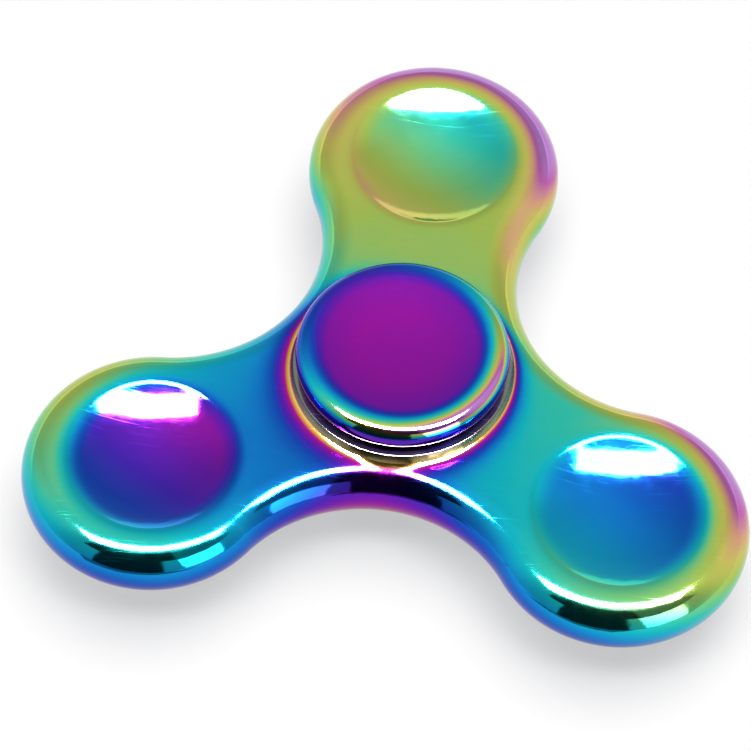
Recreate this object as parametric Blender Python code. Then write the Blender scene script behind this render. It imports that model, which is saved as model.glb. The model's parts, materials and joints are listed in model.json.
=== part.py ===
"""Tri-lobe hand spinner: a one-piece metal body on a shielded ball bearing, between two thumb caps.

Frame: metres, +Z up along the spin axis, origin at the centre of the bearing. One lobe points along +Y.
The caps and the bearing's inner ring stay still. The body, the outer ring, the shields and their snap
rings turn about Z. The ball cage turns about Z more slowly, and each ball turns about its own centre.
"""

import math

import bmesh
import bpy
from mathutils import Matrix

# Body: three round lobes joined by concave waists, with a fully rounded rim.
LOBE_COUNT = 3
FIRST_LOBE_ANGLE = math.radians(90)
LOBE_DISTANCE = 0.0280
LOBE_RADIUS = 0.0136
WAIST_RADIUS = 0.01565
RIM_RADIUS = 0.00354
RIM_STEPS = 8
OUTLINE_STEP = math.radians(10)

# Thumb dimples: shallow spherical dishes in both faces of every lobe.
DIMPLE_RADIUS = 0.0092
DIMPLE_SPHERE_RADIUS = 0.0184
DIMPLE_STEPS = 5

# Hub boss around the bearing, standing a little above both faces of the body. Its flare is given by
# how far each point lies outside the foot, and how high.
BOSS_TOP_RADIUS = 0.01135
BOSS_FOOT_RADIUS = 0.01180
BOSS_HALF_HEIGHT = 0.0045
BOSS_FLARE = ((0.0, 0.0038), (0.0003, 0.0036), (0.0008, 0.00338), (0.0014, 0.0029), (0.0021, 0.0020))
BORE_CHAMFER = 0.0005

# Ball bearing, standard size 6.35 x 12.7 x 4.762 mm.
BEARING_BORE_RADIUS = 0.003175
BEARING_OUTER_RADIUS = 0.00635
BEARING_HALF_WIDTH = 0.002381
BEARING_CHAMFER = 0.0002
BALL_COUNT = 10
BALL_RADIUS = 0.00079375
BALL_SEGMENTS = 12
BALL_RINGS = 8
PITCH_RADIUS = 0.0047625
INNER_LAND_RADIUS = 0.0042
OUTER_LAND_RADIUS = 0.00525
GROOVE_RADIUS = BALL_RADIUS + 0.00008
GROOVE_STEPS = 6
SHIELD_STEP_HEIGHT = 0.00185
SHIELD_STEP_RADIUS = 0.00565
CONTACT_GAP = 0.0001

# Crown cage: a ring with one open pocket for each ball.
CAGE_INNER_RADIUS = 0.00445
CAGE_OUTER_RADIUS = 0.00505
CAGE_BOTTOM = -0.00045
CAGE_TOP = 0.00125
POCKET_RADIUS = 0.00088
POCKET_SEGMENTS = 16

# Shields and the snap rings that hold them.
SHIELD_INNER_RADIUS = 0.00432
SHIELD_OUTER_RADIUS = 0.00558
SHIELD_BOTTOM = 0.00193
SHIELD_TOP = 0.00208
SNAP_RING_INNER_RADIUS = 0.00525
SNAP_RING_BOTTOM = 0.00216
SNAP_RING_TOP = 0.00234
SNAP_RING_SWEEP = math.radians(330)

# Thumb caps: dished discs with a rounded edge, on a post that clamps the bearing's inner ring.
CAP_EDGE_RADIUS = 0.00154
CAP_OUTER_RADIUS = 0.01117
CAP_UNDERSIDE = 0.00484
CAP_DISH_RADIUS = 0.0090
CAP_DISH_DEPTH = 0.0009
CAP_DISH_STEPS = 5
CAP_EDGE_STEPS = 8
SHOULDER_RADIUS = 0.0040
POST_RADIUS = BEARING_BORE_RADIUS - CONTACT_GAP
STUD_RADIUS = 0.0019
STUD_END = -0.0054
SOCKET_RADIUS = STUD_RADIUS + CONTACT_GAP
SOCKET_END = 0.0058

TURNED_STEPS = 36
MERGE_DISTANCE = 1e-7
SHARP_ANGLE = math.radians(35)

RAINBOW_TEAL = (0.02, 0.42, 0.46)
RAINBOW_VIOLET = (0.29, 0.01, 0.38)
BEARING_STEEL = (0.56, 0.57, 0.58)
SHIELD_STEEL = (0.42, 0.43, 0.44)
CAGE_STEEL = (0.50, 0.47, 0.42)


def clear_scene():
    """Remove every object of the start-up scene."""
    for obj in list(bpy.data.objects):
        bpy.data.objects.remove(obj, do_unlink=True)


def metal(name, colour, roughness):
    """Return a metallic Principled material."""
    material = bpy.data.materials.new(name)
    material.use_nodes = True
    shader = material.node_tree.nodes["Principled BSDF"]
    shader.inputs["Base Color"].default_value = (*colour, 1.0)
    shader.inputs["Metallic"].default_value = 1.0
    shader.inputs["Roughness"].default_value = roughness
    return material


def polar(radius, angle, centre=(0.0, 0.0)):
    """Return the point at a radius and angle about a centre."""
    return (centre[0] + radius * math.cos(angle), centre[1] + radius * math.sin(angle))


def arc(centre, radius, start, end, steps):
    """Return steps + 1 points along an arc from one angle to another."""
    angles = (start + (end - start) * step / steps for step in range(steps + 1))
    return [polar(radius, angle, centre) for angle in angles]


def add_object(name, bm, material, parent=None):
    """Turn a bmesh into a smooth-shaded object with outward faces."""
    bmesh.ops.recalc_face_normals(bm, faces=bm.faces)
    mesh = bpy.data.meshes.new(name)
    bm.to_mesh(mesh)
    bm.free()
    mesh.shade_smooth()
    mesh.set_sharp_from_angle(angle=SHARP_ANGLE)
    if material:
        mesh.materials.append(material)
    obj = bpy.data.objects.new(name, mesh)
    obj.parent = parent
    bpy.context.scene.collection.objects.link(obj)
    return obj


def add_axis(name, parent=None):
    """Add the empty that carries the pieces turning together about Z."""
    empty = bpy.data.objects.new(name, None)
    empty.parent = parent
    bpy.context.scene.collection.objects.link(empty)
    return empty


def turned(profile, sweep=math.tau):
    """Turn a profile of (radius, height) points about Z into a closed bmesh.

    A profile that starts and ends on the axis is left open there. Any other profile is closed, and
    makes a ring. A sweep under a full turn gets flat ends.
    """
    bm = bmesh.new()
    points = [bm.verts.new((radius, 0.0, height)) for radius, height in profile]
    pairs = list(zip(points, points[1:]))
    if profile[0][0] > 0.0:
        pairs.append((points[-1], points[0]))
    edges = [bm.edges.new(pair) for pair in pairs]
    full_turn = sweep >= math.tau
    bmesh.ops.spin(
        bm,
        geom=points + edges,
        cent=(0.0, 0.0, 0.0),
        axis=(0.0, 0.0, 1.0),
        dvec=(0.0, 0.0, 0.0),
        angle=sweep,
        steps=TURNED_STEPS,
        use_merge=full_turn,
    )
    bmesh.ops.remove_doubles(bm, verts=bm.verts, dist=MERGE_DISTANCE)
    open_edges = [edge for edge in bm.edges if edge.is_boundary]
    if open_edges:
        bmesh.ops.holes_fill(bm, edges=open_edges)
    return bm


def mirrored(profile):
    """Return a profile reflected in the plane through the bearing's centre."""
    return [(radius, -height) for radius, height in profile]


def add_cutter(name, bm):
    """Add a shape that only serves a Boolean modifier."""
    cutter = add_object(name, bm, None)
    cutter.hide_render = True
    cutter.display_type = "WIRE"
    return cutter


def combine(obj, other, operation):
    """Add an exact Boolean modifier."""
    modifier = obj.modifiers.new(f"{operation.lower()}_{other.name}", "BOOLEAN")
    modifier.operation = operation
    modifier.solver = "EXACT"
    modifier.object = other


def lobe_angles():
    """Return the direction of each lobe from the hub."""
    return [FIRST_LOBE_ANGLE + math.tau * lobe / LOBE_COUNT for lobe in range(LOBE_COUNT)]


def even_turns(limit):
    """Return the multiples of the outline's step between two limits, with the limits themselves."""
    most = math.floor(limit / OUTLINE_STEP)
    return [-limit, *(OUTLINE_STEP * step for step in range(-most, most + 1)), limit]


def outline(inset):
    """Return the body's outline, moved inwards by an inset.

    Each lobe is an arc about the lobe's centre. Each waist is a concave arc that meets both of its
    lobes along a tangent, so its centre lies on the line halfway between them.
    """
    half_spacing = math.pi / LOBE_COUNT
    reach = LOBE_RADIUS + WAIST_RADIUS
    across = LOBE_DISTANCE * math.sin(half_spacing)
    waist_distance = LOBE_DISTANCE * math.cos(half_spacing) + math.sqrt(reach**2 - across**2)
    lean = math.atan2(waist_distance * math.sin(half_spacing),
                      waist_distance * math.cos(half_spacing) - LOBE_DISTANCE)
    lobe_turns = even_turns(lean)
    waist_turns = even_turns(lean - half_spacing)[1:-1]
    points = []
    for angle in lobe_angles():
        lobe_centre = polar(LOBE_DISTANCE, angle)
        waist_centre = polar(waist_distance, angle + half_spacing)
        to_hub = angle + half_spacing + math.pi
        points += [polar(LOBE_RADIUS - inset, angle + turn, lobe_centre) for turn in lobe_turns]
        points += [polar(WAIST_RADIUS + inset, to_hub - turn, waist_centre) for turn in waist_turns]
    return points


def body_plate():
    """Return the body's plate: its outline with a half-round rim and flat faces."""
    bm = bmesh.new()
    rings = []
    for step in range(RIM_STEPS + 1):
        slope = math.pi * (0.5 - step / RIM_STEPS)
        inset = RIM_RADIUS * (1.0 - math.cos(slope))
        height = RIM_RADIUS * math.sin(slope)
        points = [bm.verts.new((x, y, height)) for x, y in outline(inset)]
        rings.append([bm.edges.new(pair) for pair in zip(points, points[1:] + points[:1])])
    for upper, lower in zip(rings, rings[1:]):
        bmesh.ops.bridge_loops(bm, edges=upper + lower)
    for ring in (rings[0], rings[-1]):
        bmesh.ops.contextual_create(bm, geom=ring)
    return bm


def boss_profile():
    """Return the hub boss: short conical walls on a flare that sinks into the body's faces."""
    flare = [(BOSS_FOOT_RADIUS + width, height) for width, height in BOSS_FLARE]
    upper = [(0.0, BOSS_HALF_HEIGHT), (BOSS_TOP_RADIUS, BOSS_HALF_HEIGHT), *flare]
    return upper + mirrored(upper)[::-1]


def bore_profile():
    """Return the bore for the bearing, chamfered at both mouths and run past them."""
    radius = BEARING_OUTER_RADIUS + CONTACT_GAP
    past = BOSS_HALF_HEIGHT + BORE_CHAMFER
    upper = [
        (0.0, past),
        (radius + 2 * BORE_CHAMFER, past),
        (radius, BOSS_HALF_HEIGHT - BORE_CHAMFER),
    ]
    return upper + mirrored(upper)[::-1]


def dimple_profile():
    """Return the bowl that cuts a dimple, from its lowest point to just past its rim at height 0."""
    half_angle = math.asin(DIMPLE_RADIUS / DIMPLE_SPHERE_RADIUS)
    sphere_centre = (0.0, DIMPLE_SPHERE_RADIUS * math.cos(half_angle))
    step = half_angle / DIMPLE_STEPS
    start = -math.pi / 2
    bowl = arc(sphere_centre, DIMPLE_SPHERE_RADIUS, start, start + half_angle + step, DIMPLE_STEPS + 1)
    return [*bowl, (0.0, bowl[-1][1])]


def build_dimples(body):
    """Cut a thumb dimple into both faces of every lobe."""
    for number, angle in enumerate(lobe_angles(), start=1):
        for side in (1, -1):
            cutter = add_cutter(f"dimple_shape_{number}_{side}", turned(dimple_profile()))
            cutter.location = (*polar(LOBE_DISTANCE, angle), side * RIM_RADIUS)
            cutter.rotation_euler.x = 0.0 if side > 0 else math.pi
            combine(body, cutter, "DIFFERENCE")


def build_body(parent):
    """Build the one-piece body with its boss, bore and dimples."""
    body = add_object("spinner_body", body_plate(), metal("body_finish", RAINBOW_TEAL, 0.12), parent)
    combine(body, add_cutter("boss_shape", turned(boss_profile())), "UNION")
    combine(body, add_cutter("bore_shape", turned(bore_profile())), "DIFFERENCE")
    build_dimples(body)


def groove(land_radius, inwards):
    """Return the ball groove of a ring, from above the ball's centre to below it."""
    lean = math.acos(abs(PITCH_RADIUS - land_radius) / GROOVE_RADIUS)
    if inwards:
        return arc((PITCH_RADIUS, 0.0), GROOVE_RADIUS, math.pi - lean, math.pi + lean, GROOVE_STEPS)
    return arc((PITCH_RADIUS, 0.0), GROOVE_RADIUS, -lean, lean, GROOVE_STEPS)


def build_bearing_rings(fixed, turning, steel):
    """Build the inner ring, which the caps clamp, and the outer ring, which sits in the body."""
    side = BEARING_HALF_WIDTH
    inner = [
        (BEARING_BORE_RADIUS, -side + BEARING_CHAMFER),
        (BEARING_BORE_RADIUS, side - BEARING_CHAMFER),
        (BEARING_BORE_RADIUS + BEARING_CHAMFER, side),
        (INNER_LAND_RADIUS, side),
        *groove(INNER_LAND_RADIUS, True),
        (INNER_LAND_RADIUS, -side),
        (BEARING_BORE_RADIUS + BEARING_CHAMFER, -side),
    ]
    outer = [
        (BEARING_OUTER_RADIUS, side - BEARING_CHAMFER),
        (BEARING_OUTER_RADIUS, -side + BEARING_CHAMFER),
        (BEARING_OUTER_RADIUS - BEARING_CHAMFER, -side),
        (SHIELD_STEP_RADIUS, -side),
        (SHIELD_STEP_RADIUS, -SHIELD_STEP_HEIGHT),
        (OUTER_LAND_RADIUS, -SHIELD_STEP_HEIGHT),
        *groove(OUTER_LAND_RADIUS, False),
        (OUTER_LAND_RADIUS, SHIELD_STEP_HEIGHT),
        (SHIELD_STEP_RADIUS, SHIELD_STEP_HEIGHT),
        (SHIELD_STEP_RADIUS, side),
        (BEARING_OUTER_RADIUS - BEARING_CHAMFER, side),
    ]
    add_object("bearing_inner_ring", turned(inner), steel, fixed)
    add_object("bearing_outer_ring", turned(outer), steel, turning)


def rectangle(inner_radius, outer_radius, bottom, top):
    """Return the profile of a ring with a rectangular section."""
    return [(inner_radius, bottom), (outer_radius, bottom), (outer_radius, top), (inner_radius, top)]


def build_shields(turning):
    """Build the two shields and the split rings that snap in outside them."""
    shield_steel = metal("shield_steel", SHIELD_STEEL, 0.3)
    spring_steel = metal("snap_ring_steel", BEARING_STEEL, 0.35)
    shield = rectangle(SHIELD_INNER_RADIUS, SHIELD_OUTER_RADIUS, SHIELD_BOTTOM, SHIELD_TOP)
    snap_ring = rectangle(
        SNAP_RING_INNER_RADIUS, SHIELD_OUTER_RADIUS, SNAP_RING_BOTTOM, SNAP_RING_TOP
    )
    add_object("upper_shield", turned(shield), shield_steel, turning)
    add_object("lower_shield", turned(mirrored(shield)), shield_steel, turning)
    for name, profile in (("upper_snap_ring", snap_ring), ("lower_snap_ring", mirrored(snap_ring))):
        split = turned(profile, SNAP_RING_SWEEP)
        add_object(name, split, spring_steel, turning)


def ball_angles():
    """Return the direction of each ball from the spin axis."""
    return [math.tau * ball / BALL_COUNT for ball in range(BALL_COUNT)]


def pocket_cylinders():
    """Return one radial cylinder for each ball pocket."""
    bm = bmesh.new()
    for angle in ball_angles():
        made = bmesh.ops.create_cone(
            bm,
            cap_ends=True,
            segments=POCKET_SEGMENTS,
            radius1=POCKET_RADIUS,
            radius2=POCKET_RADIUS,
            depth=2 * POCKET_RADIUS,
        )
        bmesh.ops.rotate(bm, verts=made["verts"], matrix=Matrix.Rotation(math.pi / 2, 3, "Y"))
        bmesh.ops.translate(bm, verts=made["verts"], vec=(PITCH_RADIUS, 0.0, 0.0))
        bmesh.ops.rotate(bm, verts=made["verts"], matrix=Matrix.Rotation(angle, 3, "Z"))
    return bm


def build_cage_and_balls(cage_axis, steel):
    """Build the crown cage and the balls in its pockets."""
    ring = rectangle(CAGE_INNER_RADIUS, CAGE_OUTER_RADIUS, CAGE_BOTTOM, CAGE_TOP)
    cage = add_object("ball_cage", turned(ring), metal("cage_steel", CAGE_STEEL, 0.35), cage_axis)
    combine(cage, add_cutter("pocket_shape", pocket_cylinders()), "DIFFERENCE")
    for number, angle in enumerate(ball_angles(), start=1):
        bm = bmesh.new()
        bmesh.ops.create_uvsphere(
            bm, u_segments=BALL_SEGMENTS, v_segments=BALL_RINGS, radius=BALL_RADIUS
        )
        ball = add_object(f"bearing_ball_{number:02d}", bm, steel, cage_axis)
        ball.location = (*polar(PITCH_RADIUS, angle), 0.0)


def cap_disc():
    """Return the upper cap's disc, from its underside round the edge and down into the dish."""
    edge_centre = (CAP_OUTER_RADIUS - CAP_EDGE_RADIUS, CAP_UNDERSIDE + CAP_EDGE_RADIUS)
    top = edge_centre[1] + CAP_EDGE_RADIUS
    sphere = (CAP_DISH_RADIUS**2 + CAP_DISH_DEPTH**2) / (2 * CAP_DISH_DEPTH)
    dish = []
    for step in range(CAP_DISH_STEPS + 1):
        radius = CAP_DISH_RADIUS * (1 - step / CAP_DISH_STEPS)
        sunk = CAP_DISH_DEPTH - sphere + math.sqrt(sphere**2 - radius**2)
        dish.append((radius, top - sunk))
    return [
        (SHOULDER_RADIUS, CAP_UNDERSIDE),
        *arc(edge_centre, CAP_EDGE_RADIUS, -math.pi / 2, math.pi / 2, CAP_EDGE_STEPS),
        *dish,
    ]


def build_caps(fixed):
    """Build the two thumb caps: the upper one ends in a stud, and the lower one has its socket."""
    finish = metal("cap_finish", RAINBOW_VIOLET, 0.12)
    shoulder_face = BEARING_HALF_WIDTH + CONTACT_GAP
    upper = [
        (0.0, STUD_END),
        (STUD_RADIUS, STUD_END),
        (STUD_RADIUS, CONTACT_GAP),
        (POST_RADIUS, CONTACT_GAP),
        (POST_RADIUS, shoulder_face),
        (SHOULDER_RADIUS, shoulder_face),
        *cap_disc(),
    ]
    lower = [
        (0.0, SOCKET_END),
        (SOCKET_RADIUS, SOCKET_END),
        (SOCKET_RADIUS, CONTACT_GAP),
        (POST_RADIUS, CONTACT_GAP),
        (POST_RADIUS, shoulder_face),
        (SHOULDER_RADIUS, shoulder_face),
        *cap_disc(),
    ]
    add_object("upper_cap", turned(upper), finish, fixed)
    add_object("lower_cap", turned(mirrored(lower)), finish, fixed)


def main():
    """Build the whole spinner."""
    clear_scene()
    fixed = add_axis("held_by_thumb")
    turning = add_axis("spin_axis", fixed)
    cage_axis = add_axis("cage_axis", fixed)
    steel = metal("bearing_steel", BEARING_STEEL, 0.18)
    build_body(turning)
    build_bearing_rings(fixed, turning, steel)
    build_shields(turning)
    build_cage_and_balls(cage_axis, steel)
    build_caps(fixed)


main()
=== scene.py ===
"""Looks of a rainbow-plated tri-lobe spinner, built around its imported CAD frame."""

import json
import logging
import math
from dataclasses import dataclass
from enum import Enum

import bmesh
import bpy
import numpy as np
from mathutils import Matrix, Vector
from mathutils.geometry import delaunay_2d_cdt

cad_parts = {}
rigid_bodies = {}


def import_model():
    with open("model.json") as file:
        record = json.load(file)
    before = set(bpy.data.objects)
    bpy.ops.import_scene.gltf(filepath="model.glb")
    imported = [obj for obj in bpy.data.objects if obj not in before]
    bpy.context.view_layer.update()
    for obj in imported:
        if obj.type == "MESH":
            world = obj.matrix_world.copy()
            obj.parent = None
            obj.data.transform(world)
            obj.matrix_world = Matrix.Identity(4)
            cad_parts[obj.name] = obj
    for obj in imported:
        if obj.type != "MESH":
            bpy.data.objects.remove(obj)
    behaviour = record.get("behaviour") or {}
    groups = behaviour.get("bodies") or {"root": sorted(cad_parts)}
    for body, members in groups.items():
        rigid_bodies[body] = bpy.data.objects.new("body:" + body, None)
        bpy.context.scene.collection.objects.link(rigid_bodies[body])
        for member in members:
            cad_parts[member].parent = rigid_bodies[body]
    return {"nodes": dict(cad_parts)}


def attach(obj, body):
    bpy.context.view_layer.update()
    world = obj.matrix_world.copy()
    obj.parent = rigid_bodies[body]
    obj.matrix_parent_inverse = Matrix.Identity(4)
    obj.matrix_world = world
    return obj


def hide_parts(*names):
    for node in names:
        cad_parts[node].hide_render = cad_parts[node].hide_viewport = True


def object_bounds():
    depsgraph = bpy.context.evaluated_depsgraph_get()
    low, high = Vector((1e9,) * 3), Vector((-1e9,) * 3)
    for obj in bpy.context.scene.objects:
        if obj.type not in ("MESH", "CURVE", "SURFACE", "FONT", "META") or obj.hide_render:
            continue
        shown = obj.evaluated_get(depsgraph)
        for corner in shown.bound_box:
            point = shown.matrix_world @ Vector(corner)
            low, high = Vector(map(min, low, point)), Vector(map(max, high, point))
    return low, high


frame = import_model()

CAD_BOX = [list(corner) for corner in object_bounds()]
FILM = "film"
# mask for grey in place of the film: painted shade of the collar gap under the caps, and the caps' posts
GREY_POST_AND_GAP_SHADE = "grey_post_and_gap_shade"
MM = 0.001
WELD = 1e-7
LOG = logging.getLogger("spinner")

LENS_SENSOR = 36.0
Point = tuple[float, float]
Colour = tuple[float, float, float, float]


class Side(Enum):
    """The two faces of the spinner, as the sign of their height."""

    UPPER = 1
    LOWER = -1


class Body(Enum):
    """The rigid bodies that pieces ride on."""

    CAPS = "caps"
    SPINNER = "spinner"
    CAGE = "cage"


def linear(code: str) -> Colour:
    """Turn an sRGB hex colour into linear values.

    Args:
        code: Six hex digits, with or without a leading #.

    Returns:
        Linear red, green and blue, and an alpha of 1.
    """
    digits = code.lstrip("#")
    channels = [int(digits[start : start + 2], 16) / 255 for start in (0, 2, 4)]
    red, green, blue = (
        c / 12.92 if c <= 0.04045 else ((c + 0.055) / 1.055) ** 2.4 for c in channels
    )
    return (red, green, blue, 1.0)


def add_node(
    tree: bpy.types.NodeTree, kind: str, settings: dict | None = None, **inputs: object
) -> bpy.types.Node:
    """Add a node, set its properties, and set or link its inputs.

    Args:
        tree: The node tree that gets the node.
        kind: The node's type name.
        settings: Property values by name.
        **inputs: A value or an output socket for each input, with spaces written as underscores. An
            input that shares its name is given by number, as in in_0.

    Returns:
        The new node.
    """
    node = tree.nodes.new(kind)
    for name, value in (settings or {}).items():
        setattr(node, name, value)
    for name, value in inputs.items():
        key = int(name[3:]) if name.startswith("in_") else name.replace("_", " ")
        if isinstance(value, bpy.types.NodeSocket):
            tree.links.new(value, node.inputs[key])
        else:
            node.inputs[key].default_value = value
    return node


def fill_ramp(ramp: bpy.types.ColorRamp, stops: list[tuple[float, Colour]]) -> None:
    """Give a colour ramp its stops.

    Args:
        ramp: The ramp to fill.
        stops: Positions from 0 to 1, each with its colour.
    """
    ramp.interpolation = "LINEAR"
    while len(ramp.elements) < len(stops):
        ramp.elements.new(1.0)
    for element, (position, colour) in zip(ramp.elements, stops):
        element.position = position
        element.color = colour


# ---------------------------------------------------------------- finishes


@dataclass(frozen=True)
class RainbowPlate:
    """Interference-coloured nitride film, vacuum plated on polished cast zinc.

    The mirror polish shows sharp reflections, and the film tints them by its thickness: gold where
    it is thinnest, then magenta, violet, blue, teal, green and yellow, and pink where it is thickest.
    Slow waves left by the polishing wheel bend the reflections' edges, and handling has left hairline
    scratches. The collar's wall and top, in the gap under the caps, are painted flat grey as shade,
    and the caps' posts are coloured the same grey.
    """

    name: str
    roughness: float = 0.055
    tint_drift: float = 0.018
    # grey in place of the film: painted shade in the collar gap under the caps, and on the caps' posts
    grey_post_and_gap_shade_colour: str = "#77756F"
    wave_length: float = 1.5 * MM
    wave_height: float = 0.014 * MM
    grain_size: float = 0.3 * MM
    pit_spacing: float = 2.6 * MM
    pit_radius: float = 0.07 * MM
    pit_depth: float = 0.012 * MM
    fine_depth: float = 0.0004 * MM
    scratch_turns: Point = (0.5, 2.2)
    scratch_scale: Point = (0.12 / MM, 7.0 / MM)

    def film_colours(self) -> list[tuple[float, Colour]]:
        """Return the film's colours from its thinnest to its thickest."""
        codes = (
            (0.00, "#F4E6B0"), (0.06, "#E2B84C"), (0.12, "#C87A4E"), (0.17, "#B0207E"),
            (0.23, "#90189A"), (0.30, "#661EA4"), (0.36, "#4426AC"), (0.42, "#1C40AE"),
            (0.48, "#145AB4"), (0.54, "#1479C4"), (0.60, "#1498C4"), (0.66, "#14B0BB"),
            (0.72, "#34BDA4"), (0.78, "#6EC07C"), (0.84, "#A2BC55"), (0.89, "#C1B95C"),
            (0.93, "#CE9A78"), (0.97, "#B65CA6"), (1.00, "#B078C0"),
        )
        return [(place, linear(code)) for place, code in codes]

    def scratches(
        self, tree: bpy.types.NodeTree, place: bpy.types.NodeSocket
    ) -> bpy.types.NodeSocket:
        """Add hairline handling scratches in two directions.

        Args:
            tree: The material's node tree.
            place: The Object coordinates.

        Returns:
            How scratched each point is, from 0 to 1.
        """
        along, across = self.scratch_scale
        marks = None
        for turn in self.scratch_turns:
            lines = add_node(tree, "ShaderNodeMapping", Vector=place)
            lines.inputs["Rotation"].default_value = (0.0, 0.0, turn)
            lines.inputs["Scale"].default_value = (along, across, along)
            streak = add_node(tree, "ShaderNodeTexNoise",
                              Vector=lines.outputs[0], Scale=1.0, Detail=1.0)
            hair = add_node(tree, "ShaderNodeMapRange",
                            Value=streak.outputs["Fac"], From_Min=0.68, From_Max=0.76)
            part = hair.outputs["Result"]
            if marks is not None:
                either = add_node(tree, "ShaderNodeMath", {"operation": "MAXIMUM"},
                                  in_0=marks, in_1=part)
                part = either.outputs[0]
            marks = part
        return marks

    def relief(
        self, tree: bpy.types.NodeTree, place: bpy.types.NodeSocket, marks: bpy.types.NodeSocket
    ) -> bpy.types.NodeSocket:
        """Add the polished casting's slow waves, fine grain, few pits and scratches.

        Args:
            tree: The material's node tree.
            place: The Object coordinates.
            marks: How scratched each point is.

        Returns:
            The normal.
        """
        wave = add_node(tree, "ShaderNodeTexNoise",
                        Vector=place, Scale=1.0 / self.wave_length, Detail=1.5)
        waves = add_node(tree, "ShaderNodeBump",
                         Height=wave.outputs["Fac"], Strength=1.0, Distance=self.wave_height)
        grain = add_node(tree, "ShaderNodeTexNoise",
                         Vector=place, Scale=1.0 / self.grain_size, Detail=2.0)
        grains = add_node(tree, "ShaderNodeBump", Height=grain.outputs["Fac"], Strength=1.0,
                          Distance=self.fine_depth, Normal=waves.outputs["Normal"])
        cell = add_node(tree, "ShaderNodeTexVoronoi", Vector=place, Scale=1.0 / self.pit_spacing)
        pit = add_node(tree, "ShaderNodeMapRange", Value=cell.outputs["Distance"],
                       From_Min=0.0, From_Max=self.pit_radius / self.pit_spacing)
        pits = add_node(tree, "ShaderNodeBump", Height=pit.outputs["Result"], Strength=1.0,
                        Distance=self.pit_depth, Normal=grains.outputs["Normal"])
        scored = add_node(tree, "ShaderNodeBump", {"invert": True}, Height=marks, Strength=1.0,
                          Distance=self.fine_depth, Normal=pits.outputs["Normal"])
        return scored.outputs["Normal"]

    def material(self) -> bpy.types.Material:
        """Return the plated finish."""
        made = bpy.data.materials.new(self.name)
        made.use_nodes = True
        tree = made.node_tree
        shader = tree.nodes["Principled BSDF"]
        place = add_node(tree, "ShaderNodeTexCoord").outputs["Object"]
        film = add_node(tree, "ShaderNodeAttribute", {"attribute_name": FILM})
        grey_post_and_gap_shade = add_node(tree, "ShaderNodeAttribute", {"attribute_name": GREY_POST_AND_GAP_SHADE})
        cloud = add_node(tree, "ShaderNodeTexNoise", Vector=place, Scale=0.12 / MM, Detail=3.0)
        drift = add_node(tree, "ShaderNodeMath", {"operation": "MULTIPLY_ADD"},
                         in_0=cloud.outputs["Fac"], in_1=2 * self.tint_drift, in_2=-self.tint_drift)
        tint = add_node(tree, "ShaderNodeMath", {"operation": "ADD"},
                        in_0=film.outputs["Fac"], in_1=drift.outputs[0])
        ramp = add_node(tree, "ShaderNodeValToRGB", Fac=tint.outputs[0])
        fill_ramp(ramp.color_ramp, self.film_colours())
        # grey in place of the film where the mask is set: painted shade of the gap under the caps
        colour = add_node(tree, "ShaderNodeMix", {"data_type": "RGBA"}, in_0=grey_post_and_gap_shade.outputs["Fac"],
                          in_6=ramp.outputs["Color"], in_7=linear(self.grey_post_and_gap_shade_colour))
        marks = self.scratches(tree, place)
        haze = add_node(tree, "ShaderNodeTexNoise",
                        Vector=place, Scale=0.5 / MM, Detail=6.0, Roughness=0.7)
        gloss = add_node(tree, "ShaderNodeMapRange",
                         Value=haze.outputs["Fac"], From_Min=0.35, From_Max=0.75,
                         To_Min=self.roughness, To_Max=self.roughness + 0.05)
        worn = add_node(tree, "ShaderNodeMath", {"operation": "MULTIPLY_ADD"},
                        in_0=marks, in_1=0.08, in_2=gloss.outputs["Result"])
        # rougher where the grey is: the painted gap shade and the caps' posts
        grey_post_and_gap_roughness = add_node(tree, "ShaderNodeMath", {"operation": "MULTIPLY_ADD"},
                               in_0=grey_post_and_gap_shade.outputs["Fac"], in_1=0.07, in_2=worn.outputs[0])
        tree.links.new(colour.outputs[2], shader.inputs["Base Color"])
        tree.links.new(grey_post_and_gap_roughness.outputs[0], shader.inputs["Roughness"])
        tree.links.new(self.relief(tree, place, marks), shader.inputs["Normal"])
        shader.inputs["Metallic"].default_value = 1.0
        return made


@dataclass(frozen=True)
class TurnedSteel:
    """Chrome bearing steel, ground after hardening: bright, with fine rings left by the wheel."""

    name: str
    colour: str = "#C6C8CA"
    roughness: float = 0.16
    ring_spacing: float = 0.12 * MM

    def material(self) -> bpy.types.Material:
        """Return the steel finish."""
        made = bpy.data.materials.new(self.name)
        made.use_nodes = True
        tree = made.node_tree
        shader = tree.nodes["Principled BSDF"]
        place = add_node(tree, "ShaderNodeTexCoord").outputs["Object"]
        rings = add_node(tree, "ShaderNodeTexWave",
                         {"wave_type": "RINGS", "rings_direction": "Z"},
                         Vector=place, Scale=0.3 / self.ring_spacing, Distortion=1.5, Detail=2.0)
        stain = add_node(tree, "ShaderNodeTexNoise", Vector=place, Scale=0.6 / MM, Detail=4.0)
        tone = add_node(tree, "ShaderNodeMix", {"data_type": "RGBA"}, in_0=stain.outputs["Fac"])
        tone.inputs[6].default_value = linear(self.colour)
        tone.inputs[7].default_value = tuple(0.8 * c for c in linear(self.colour)[:3]) + (1.0,)
        gloss = add_node(tree, "ShaderNodeMapRange", Value=rings.outputs["Fac"],
                         To_Min=self.roughness, To_Max=self.roughness + 0.1)
        bump = add_node(tree, "ShaderNodeBump",
                        Height=rings.outputs["Fac"], Strength=0.1, Distance=0.01 * MM)
        tree.links.new(tone.outputs[2], shader.inputs["Base Color"])
        tree.links.new(gloss.outputs["Result"], shader.inputs["Roughness"])
        tree.links.new(bump.outputs["Normal"], shader.inputs["Normal"])
        shader.inputs["Metallic"].default_value = 1.0
        return made


# ---------------------------------------------------------------- mesh work


def polar(radius: float, angle: float, centre: Point = (0.0, 0.0)) -> Point:
    """Return the point at a radius and angle about a centre."""
    return (centre[0] + radius * math.cos(angle), centre[1] + radius * math.sin(angle))


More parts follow.
